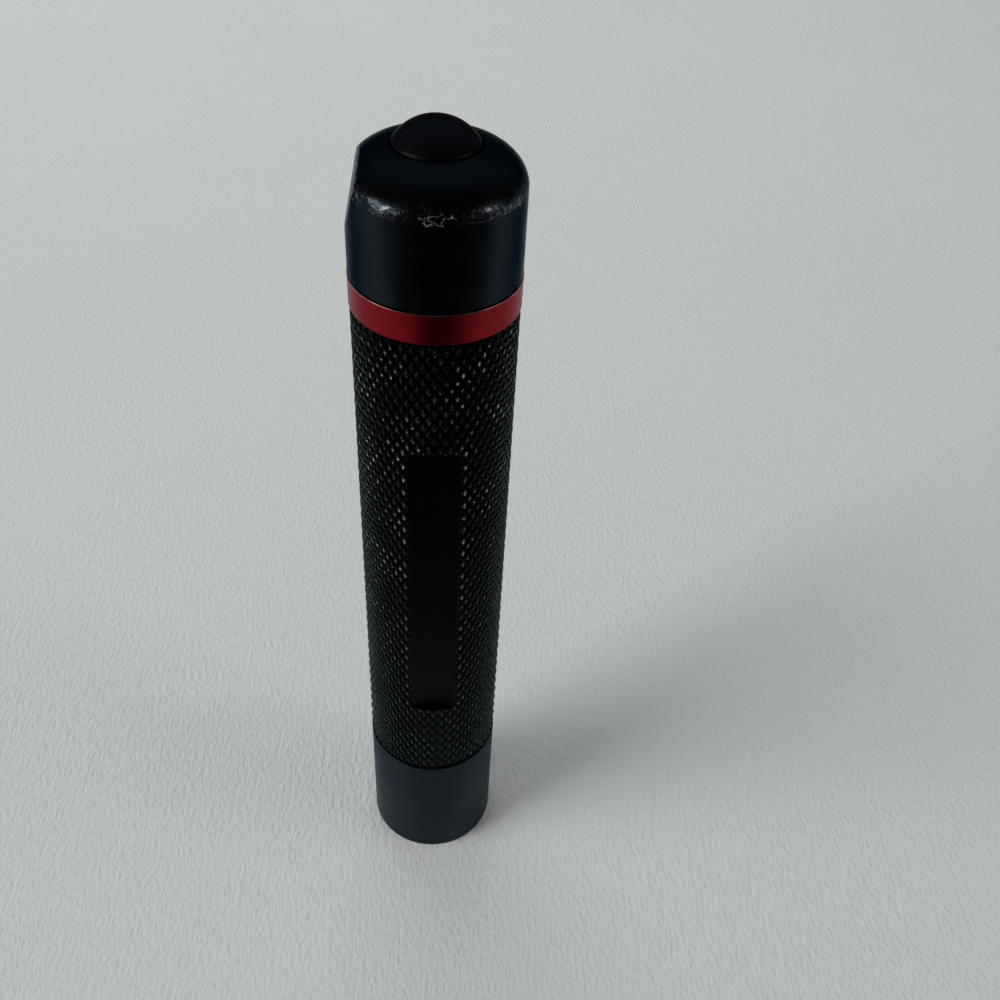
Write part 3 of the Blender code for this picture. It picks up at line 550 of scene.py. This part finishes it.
def makeBarrel():
    sleeve = makeSleeve()
    cutAway(sleeve, makeWindowCutter())
    smoothShade(sleeve, 22)
    sleeve.data.materials.append(finishKnurl())
    place(sleeve, "handle", "barrel", "barrel")

    spigot, bore, cellBore = grip["spigotRadius"], grip["boreRadius"], barrel["cellBore"]
    shoulder = grip["shoulder"]
    inside = knurl["inner"] - barrel["sleeveGap"]
    grooveLow = shoulder + barrel["grooveAt"]
    grooveHigh = grooveLow + barrel["grooveWidth"]
    groove = spigot - barrel["grooveDepth"]
    counterboreTop = collarHigh.z + seatGap
    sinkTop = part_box("heat_sink")[1].z + seatGap
    clipLow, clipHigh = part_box("lens_clip")
    clipRadius = bore + barrel["clipGroove"]
    outline = [
        (spigot, grip["spigotTop"]), (spigot, grooveHigh), (groove, grooveHigh), (groove, grooveLow),
        (spigot, grooveLow), (spigot, shoulder), (inside, shoulder), (inside, counterboreTop),
        (bore, counterboreTop), (bore, clipLow.z - seatGap), (clipRadius, clipLow.z - seatGap),
        (clipRadius, clipHigh.z + seatGap), (bore, clipHigh.z + seatGap), (bore, sinkTop),
        (cellBore, sinkTop), (cellBore, grip["spigotTop"]),
    ]
    core = turnRing("barrelCore", outline, steps=128, softness=0.1 * mm)
    core.data.materials.append(lathedFinish("core anodise", (0.012, 0.013, 0.015), 0.38, 0.2))
    place(core, "handle", "barrel", "barrel")


makeBarrel()
print("barrel done")


# thread on the spigot

thread = {"ridge": 0.24 * mm, "low": 8.75 * mm, "high": 11.15 * mm, "turns": 2.4, "runout": 0.3}


def windWire(name, radius, low, high, turns, wire, deadTurns=0.0, runout=0.0):
    # a round wire wound up the axis: dead turns lie flat at both ends, a run-out thins the ends
    count = round(turns * 40)
    line = bpy.data.curves.new(name, "CURVE")
    line.dimensions = "3D"
    line.bevel_depth = wire
    line.bevel_resolution = 2
    line.use_fill_caps = True
    spline = line.splines.new("POLY")
    spline.points.add(count)
    for i, point in enumerate(spline.points):
        done = turns * i / count
        climb = min(1.0, max(0.0, (done - deadTurns) / (turns - 2 * deadTurns)))
        angle = math.tau * done
        point.co = (radius * math.cos(angle), radius * math.sin(angle), low + (high - low) * climb, 1)
        if runout:
            point.radius = min(1.0, 0.15 + min(done, turns - done) / runout)
    piece = bpy.data.objects.new(name, line)
    bpy.context.collection.objects.link(piece)
    pick(piece)
    bpy.ops.object.convert(target="MESH")
    bpy.ops.object.mode_set(mode="EDIT")
    bpy.ops.mesh.select_all(action="SELECT")
    bpy.ops.mesh.remove_doubles(threshold=0.002 * mm)
    bpy.ops.mesh.normals_make_consistent(inside=False)
    bpy.ops.object.mode_set(mode="OBJECT")
    smoothShade(piece, 40)
    return piece


def makeThread():
    low, high = grip["shoulder"] + thread["low"], grip["shoulder"] + thread["high"]
    piece = windWire("spigotThread", grip["spigotRadius"], low, high, thread["turns"], thread["ridge"],
                     runout=thread["runout"])
    piece.data.materials.append(lathedFinish("thread metal", (0.42, 0.42, 0.41), 0.33, 0.9))
    place(piece, "handle", "barrel", "barrel")


makeThread()
print("thread done")


# accent ring

ring = {"lip": 0.05 * mm, "lipHeight": 0.22 * mm, "slopeHeight": 0.40 * mm, "softness": 0.09 * mm}


def makeRing():
    # a lip round the top stands proud of the rest
    outer, inner = ringHigh.x - ring["lip"], grip["spigotRadius"] + seatGap
    outline = [(ringHigh.x, ringHigh.z), (ringHigh.x, ringHigh.z - ring["lipHeight"]),
               (outer, ringHigh.z - ring["slopeHeight"]), (outer, ringLow.z),
               (inner, ringLow.z), (inner, ringHigh.z)]
    piece = turnRing("accentRing", outline, steps=192, softness=ring["softness"])
    piece.data.materials.append(finishRing())
    place(piece, "spacer", "accent_ring", "accent_ring")


makeRing()
print("accent ring done")


# tail cap

cap = {"radius": capHigh.x, "rim": capLow.z, "shoulder": capLow.z + 14.1 * mm, "shoulderHeight": 6.25 * mm,
       "shoulderDepth": 8.56 * mm, "hole": 6.9 * mm, "holeRound": 0.25 * mm, "flangeBore": 9.2 * mm,
       "skirtBore": 12.7 * mm, "boardBore": 12.5 * mm, "boardSeat": 4.0 * mm, "skirtSlope": 0.2 * mm,
       "shelf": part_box("switch_board")[1].z + seatGap, "ceiling": capHigh.z - 2.5 * mm}
flat = {"azimuth": math.radians(181.5), "lean": math.radians(12.5), "depth": 1.55 * mm}
flat["offset"] = ((cap["radius"] - flat["depth"]) * math.cos(flat["lean"])
                  + cap["shoulder"] * math.sin(flat["lean"]))
flat["normal"] = Vector((math.cos(flat["azimuth"]) * math.cos(flat["lean"]),
                         math.sin(flat["azimuth"]) * math.cos(flat["lean"]), math.sin(flat["lean"])))


def makeCap():
    middle = cap["radius"] - cap["shoulderDepth"]
    holeAngle = math.degrees(math.acos((cap["hole"] + cap["holeRound"] - middle) / cap["shoulderDepth"]))
    shoulder = arc(middle, cap["shoulder"], cap["shoulderDepth"], cap["shoulderHeight"], holeAngle, 0, 36)
    seat = cap["shelf"] - cap["boardSeat"]
    outline = [(cap["hole"], shoulder[0][1] - cap["holeRound"])] + shoulder + [
        (cap["radius"], cap["rim"]), (cap["skirtBore"], cap["rim"]),
        (cap["skirtBore"], seat - cap["skirtSlope"]), (cap["boardBore"], seat),
        (cap["boardBore"], cap["shelf"]), (cap["flangeBore"], cap["shelf"]),
        (cap["flangeBore"], cap["ceiling"]), (cap["hole"], cap["ceiling"])]
    piece = turnRing("tailCap", outline, steps=192)
    bpy.ops.object.mode_set(mode="EDIT")
    bpy.ops.mesh.select_all(action="SELECT")
    bpy.ops.mesh.bisect(plane_co=flat["normal"] * flat["offset"], plane_no=flat["normal"], use_fill=True,
                        clear_outer=True)
    bpy.ops.object.mode_set(mode="OBJECT")
    softenEdges(piece, 0.07 * mm, segments=2, angle=18)
    smoothShade(piece, 25)
    piece.data.materials.append(finishCap())
    place(piece, "cap", "tail_cap", "tail_cap")


makeCap()
print("tail cap done")


# button

button = {"radius": 6.6 * mm, "dome": 3.4 * mm, "flange": 8.9 * mm, "flangeThickness": 1.2 * mm,
          "stem": 2.2 * mm, "colour": (0.030, 0.034, 0.040)}
spring = {"wire": 0.3 * mm, "turns": 3.5, "deadTurns": 0.75, "travel": 1.8 * mm}


def makeButton():
    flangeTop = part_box("button_seal")[0].z - seatGap
    flangeLow = flangeTop - button["flangeThickness"]
    sphere = (button["radius"] ** 2 + button["dome"] ** 2) / (2 * button["dome"])
    edge = math.degrees(math.acos(button["radius"] / sphere))
    dome = arc(0, buttonHigh.z - sphere, sphere, sphere, 90, edge, 28)
    dome[0] = (0, buttonHigh.z)
    outline = dome + [(button["radius"], flangeTop), (button["flange"], flangeTop),
                      (button["flange"], flangeLow), (button["stem"], flangeLow),
                      (button["stem"], buttonLow.z), (0, buttonLow.z)]
    piece = turnPiece("pushButton", outline, steps=160, softness=0.08 * mm)
    piece.data.materials.append(finishButton())
    place(piece, "button", "button", "button")


def makeButtonSpring():
    # it is wound to fill the frame's spring box and rides with the cap; nothing here closes it up
    low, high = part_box("button_spring")
    wire = spring["wire"]
    piece = windWire("buttonSpring", high.x - wire, low.z + wire, high.z - wire, spring["turns"], wire,
                     deadTurns=spring["deadTurns"])
    piece.data.materials.append(lathedFinish("button spring steel", (0.50, 0.50, 0.49), 0.30, 1.0))
    place(piece, "cap", "button_spring", "button_spring")
    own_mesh(piece)


makeButton()
makeButtonSpring()
print("button done")


# wand

wand = {"stopStep": 1.1 * mm, "wall": 1.2 * mm, "slideGap": 0.3 * mm, "footLength": 6.0 * mm,
        "lipLength": 4.0 * mm, "groove": 0.8 * mm, "grooveWidth": 1.3 * mm, "dent": 0.12 * mm,
        "dentLow": 2.2 * mm, "dentHigh": 3.4 * mm, "dentSlope": 0.3 * mm}
tip = {"flangeHeight": 2.0 * mm, "stem": 2.9 * mm, "rim": 8.3 * mm, "dishHeight": 0.55 * mm,
       "dishReach": 7.6 * mm, "dishRadius": 60 * mm}


def redPlastic(name, depth):
    # dyed polycarbonate: clear enough to carry the light, frosted inside
    finish, tree, shader = startFinish(name, (0.62 * depth, 0.022, 0.014), 0.22, Transmission_Weight=0.55,
                                       IOR=1.58)
    streaks = noise(tree, 1.0, detail=3, stretch=(500, 500, 60))
    tree.links.new(ramp(tree, streaks, 0.3, 0.7, 0.16, 0.30), shader.inputs["Roughness"])
    tone = blendColours(tree, streaks, (0.55 * depth, 0.016, 0.010), (0.70 * depth, 0.030, 0.018))
    tree.links.new(tone, shader.inputs["Base Color"])
    addBump(tree, shader, streaks, 0.1, 0.02 * mm)
    return finish


def makeWandTube(stage, name, bore):
    low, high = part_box(f"{name}_wand_tube")
    foot = bore - wand["slideGap"]
    tube = bore - wand["stopStep"] - wand["slideGap"]
    inner = tube - wand["wall"]
    footLow = high.z - wand["footLength"]
    grooveLow = footLow + (wand["footLength"] - wand["grooveWidth"]) / 2
    grooveHigh = grooveLow + wand["grooveWidth"]
    depth = foot - wand["groove"]
    dent, dentLow, dentHigh = tube - wand["dent"], low.z + wand["dentLow"], low.z + wand["dentHigh"]
    outline = [(foot, high.z), (foot, grooveHigh), (depth, grooveHigh), (depth, grooveLow), (foot, grooveLow),
               (foot, footLow), (tube, footLow), (tube, dentHigh), (dent, dentHigh - wand["dentSlope"]),
               (dent, dentLow + wand["dentSlope"]), (tube, dentLow), (tube, low.z)]
    if stage < 2:
        lip = inner - wand["stopStep"]
        outline += [(lip, low.z), (lip, low.z + wand["lipLength"]), (inner, low.z + wand["lipLength"])]
    else:
        outline.append((inner, low.z))
    outline.append((inner, high.z))
    piece = turnRing(f"{name}WandTube", outline, steps=128, softness=0.12 * mm)
    piece.data.materials.append(redPlastic(f"{name} tube red", 1.0))
    place(piece, f"{name}_tube", f"{name}_wand_tube", f"{name}_wand_tube")
    return inner


def makeTip():
    low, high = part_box("tip_cap")
    flangeTop, stem, curve = low.z + tip["flangeHeight"], tip["stem"], tip["dishRadius"]
    # a shallow dish with a raised rim closes the mouth
    edge = 90 - math.degrees(tip["dishReach"] / curve)
    dish = arc(0, low.z + tip["dishHeight"] - curve, curve, curve, 90, edge, 8)
    dish[0] = (0, dish[0][1])
    outline = [(0, high.z), (stem, high.z), (stem, flangeTop), (high.x, flangeTop), (high.x, low.z),
               (tip["rim"], low.z)] + dish[::-1]
    piece = turnPiece("wandTip", outline, steps=128, softness=0.12 * mm)
    piece.data.materials.append(redPlastic("tip red", 0.9))
    place(piece, "inner_tube", "tip_cap", "tip_cap")


bore = grip["boreRadius"]
for stage, name in enumerate(("outer", "middle", "inner")):
    bore = makeWandTube(stage, name, bore)
makeTip()
print("wand done")


# seals, which are round-section rings

flash = {"height": 0.03 * mm, "reach": 0.02 * mm}


def makeSeal(node, body):
    low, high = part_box(node)
    middle = (low.z + high.z) / 2
    section = (high.z - low.z) / 2 / math.cos(math.radians(30))
    clearSelection()
    bpy.ops.mesh.primitive_torus_add(major_segments=96, minor_segments=12, major_radius=high.x - section,
                                     minor_radius=section, location=(0, 0, middle))
    seal = bpy.context.object
    seal.name = node[0] + node.title().replace("_", "")[1:]
    # a flash line from the mould runs round the outside
    bpy.ops.object.transform_apply(location=True, rotation=False, scale=False)
    bpy.ops.object.mode_set(mode="EDIT")
    selectWhere("verts", lambda v: v.co.xy.length > high.x - flash["reach"]
                and abs(v.co.z - middle) < flash["reach"])
    swell = 1 + flash["height"] / high.x
    bpy.ops.transform.resize(value=(swell, swell, 1), center_override=(0, 0, middle))
    bpy.ops.object.mode_set(mode="OBJECT")
    smoothShade(seal, 60)
    seal.data.materials.append(plainFinish(node.replace("_", " ") + " rubber", (0.018, 0.018, 0.019), 0.55))
    place(seal, body, node, node)


for node, body in (("cap_o_ring", "handle"), ("outer_tube_o_ring", "outer_tube"),
                   ("middle_tube_o_ring", "middle_tube"), ("inner_tube_o_ring", "inner_tube")):
    makeSeal(node, body)
print("seals done")


# finishes of what is inside

def dressInside():
    brass = lathedFinish("gilt brass", (0.62, 0.44, 0.17), 0.28, 1.0)
    steel = lathedFinish("spring steel", (0.50, 0.50, 0.49), 0.30, 1.0)
    for name in ("switch_retainer", "front_spring", "tail_spring"):
        dressNode(name, brass)
    dressNode("lens_clip", steel)
    dressNode("heat_sink", lathedFinish("sink aluminium", (0.66, 0.66, 0.65), 0.34, 1.0))
    felt = plainFinish("wiper felt", (0.045, 0.045, 0.046), 0.95, grain=3500, unevenness=0.5)
    dressNode("wiper_ring", felt)
    dressNode("button_seal", plainFinish("button seal rubber", (0.020, 0.020, 0.021), 0.6))
    dressNode("lens_holder", plainFinish("holder white", (0.74, 0.74, 0.72), 0.42))
    dressNode("led_board", plainFinish("white solder mask", (0.78, 0.78, 0.76), 0.35, grain=2200))
    dressNode("led_emitter", plainFinish("phosphor", (0.80, 0.62, 0.12), 0.30, grain=5000))
    dressNode("driver_board", plainFinish("green solder mask", (0.018, 0.13, 0.045), 0.30, grain=1800))
    dressNode("switch_board", plainFinish("switch board mask", (0.018, 0.13, 0.045), 0.30, grain=1800))
    dressNode("driver_chip", plainFinish("chip epoxy", (0.022, 0.022, 0.023), 0.45, grain=4000))
    dressNode("switch_housing", plainFinish("switch nylon", (0.028, 0.028, 0.030), 0.45, grain=2500))
    dressNode("switch_plunger", plainFinish("plunger acetal", (0.62, 0.62, 0.60), 0.35))
    dressNode("positive_led_wire", plainFinish("red insulation", (0.50, 0.020, 0.018), 0.40))
    dressNode("negative_led_wire", plainFinish("black insulation", (0.020, 0.020, 0.021), 0.40))
    wrap = plainFinish("cell wrap", (0.035, 0.070, 0.190), 0.26, grain=420, unevenness=0.2)
    dressNode("battery_cell", wrap)
    lens = plainFinish("lens clear", (0.92, 0.94, 0.94), 0.06, unevenness=0.03, Transmission_Weight=1.0,
                       IOR=1.58)
    dressNode("collimator_lens", lens)


dressInside()
print("inside dressed")


# table, light and camera

studio = {"edge": -0.075, "front": -1.4, "back": 2.2, "side": 1.8, "dark": 0.055, "leftStrip": 0.06,
          "rightStrip": 0.03, "tint": (1.0, 1.0, 0.99), "grip": (0, 0, 0.08), "beyond": (0, 0.45, 0),
          "far": (-0.1, 0.85, 0)}
camera = {"lens": 38.11, "place": (0, -0.14882, 0.22986), "turn": -4.74, "tilt": 48.564, "roll": 3.483}


def finishTable():
    finish, tree, shader = startFinish("table", (0.60, 0.62, 0.61), 0.60)
    emboss = noise(tree, 1.0, detail=4, roughness=0.6, stretch=(900, 420, 1))
    clouds = noise(tree, 6, detail=3)
    tone = blendColours(tree, clouds, (0.585, 0.61, 0.60), (0.625, 0.645, 0.635))
    tree.links.new(tone, shader.inputs["Base Color"])
    addBump(tree, shader, emboss, 1.0, 0.5 * mm)
    return finish


def makeTable(name, left, right, near, far, finish):
    clearSelection()
    bpy.ops.mesh.primitive_plane_add(size=1)
    table = bpy.context.object
    table.name = name
    table.scale = (right - left, far - near, 1)
    table.location = ((left + right) / 2, (near + far) / 2, 0)
    bpy.ops.object.transform_apply(location=True, rotation=False, scale=True)
    table.data.materials.append(finish)
    return table


def makeLight(name, place, target, size, power, colour=(1, 1, 1), spread=180):
    light = bpy.data.lights.new(name, "AREA")
    light.shape = "RECTANGLE"
    light.size, light.size_y = size
    light.energy = power
    light.color = colour
    light.spread = math.radians(spread)
    lamp = bpy.data.objects.new(name, light)
    lamp.location = place
    lamp.rotation_euler = (Vector(target) - Vector(place)).to_track_quat("-Z", "Y").to_euler()
    bpy.context.collection.objects.link(lamp)
    return lamp


def makeWorld():
    world = bpy.data.worlds.new("soft room")
    bpy.context.scene.world = world
    world.use_nodes = True
    tree = world.node_tree
    back = tree.nodes["Background"]
    # a pale backdrop where it is seen, an even sky over the table, and a dim room in the reflections
    path = addNode(tree, "LightPath").outputs
    toward = addNode(tree, "SeparateXYZ", {0: addNode(tree, "TexCoord").outputs["Generated"]}).outputs
    behind = ramp(tree, sums(tree, "ADD", toward[1], toward[2]), 0.25, 1.35)
    room = blendColours(tree, behind, (0.018, 0.020, 0.022), (0.13, 0.147, 0.16))
    soft = blendColours(tree, path["Is Diffuse Ray"], room, (0.20, 0.21, 0.21))
    tree.links.new(blendColours(tree, path["Is Camera Ray"], soft, (0.47, 0.50, 0.49)), back.inputs["Color"])


def makeCamera():
    lens = bpy.data.cameras.new("camera")
    lens.lens = camera["lens"]
    lens.sensor_width = 36
    seen = bpy.data.objects.new("camera", lens)
    turn = (Matrix.Rotation(math.radians(camera["turn"]), 4, "Z")
            @ Matrix.Rotation(math.radians(camera["tilt"]), 4, "X")
            @ Matrix.Rotation(math.radians(camera["roll"]), 4, "Z"))
    seen.matrix_world = Matrix.Translation(camera["place"]) @ turn
    bpy.context.collection.objects.link(seen)
    bpy.context.scene.camera = seen


def gather(name, *pieces):
    group = bpy.data.collections.new(name)
    for piece in pieces:
        group.objects.link(bpy.data.objects[piece])
    return group


def makeStudio():
    # the aprons stay out of reflections, so upright faces mirror a dark room in front of the table
    finish, side, edge, dark = finishTable(), studio["side"], studio["edge"], studio["dark"]
    makeTable("table", -side, side, edge, studio["back"], finish)
    spans = (("Left", -side, -dark, edge - studio["leftStrip"]), ("Middle", -dark, dark, edge),
             ("Right", dark, side, edge - studio["rightStrip"]))
    for name, left, right, near in spans:
        if near < edge:
            makeTable("table" + name, left, right, near, edge, finish)
        apron = makeTable("apron" + name, left, right, studio["front"], near, finish)
        apron.visible_glossy = False
    # the high lamps light the table, and don't show in reflections
    aim, beyond, tint = studio["grip"], studio["beyond"], studio["tint"]
    high = [makeLight("high left", (-2.30, -0.70, 1.90), beyond, (1.8, 1.8), 11.2, tint, 60),
            makeLight("high right", (2.60, -0.50, 1.50), beyond, (1.8, 1.5), 2.7, tint, 60),
            makeLight("high back", (-0.25, 1.35, 1.30), studio["far"], (1.4, 0.9), 9.0, tint)]
    for lamp in high:
        lamp.visible_glossy = False
    # the low lamps only make the highlights of some pieces
    smooth = gather("smoothPieces", "tailCap", "pushButton", "accentRing", "frontCollar")
    knurled = gather("knurledPieces", "knurledSleeve")
    low = [(makeLight("low left", (-0.75, -0.31, 0.21), aim, (0.34, 0.18), 1.3), smooth),
           (makeLight("low right", (0.76, -0.30, 0.21), aim, (0.22, 0.15), 0.30), smooth),
           (makeLight("flank left", (-0.75, 0.06, 0.16), aim, (0.40, 0.25), 1.3), knurled)]
    for lamp, pieces in low:
        lamp.visible_diffuse = False
        lamp.light_linking.receiver_collection = pieces


makeStudio()
makeWorld()
makeCamera()
bpy.context.scene.view_settings.view_transform = "Standard"
print("studio done")
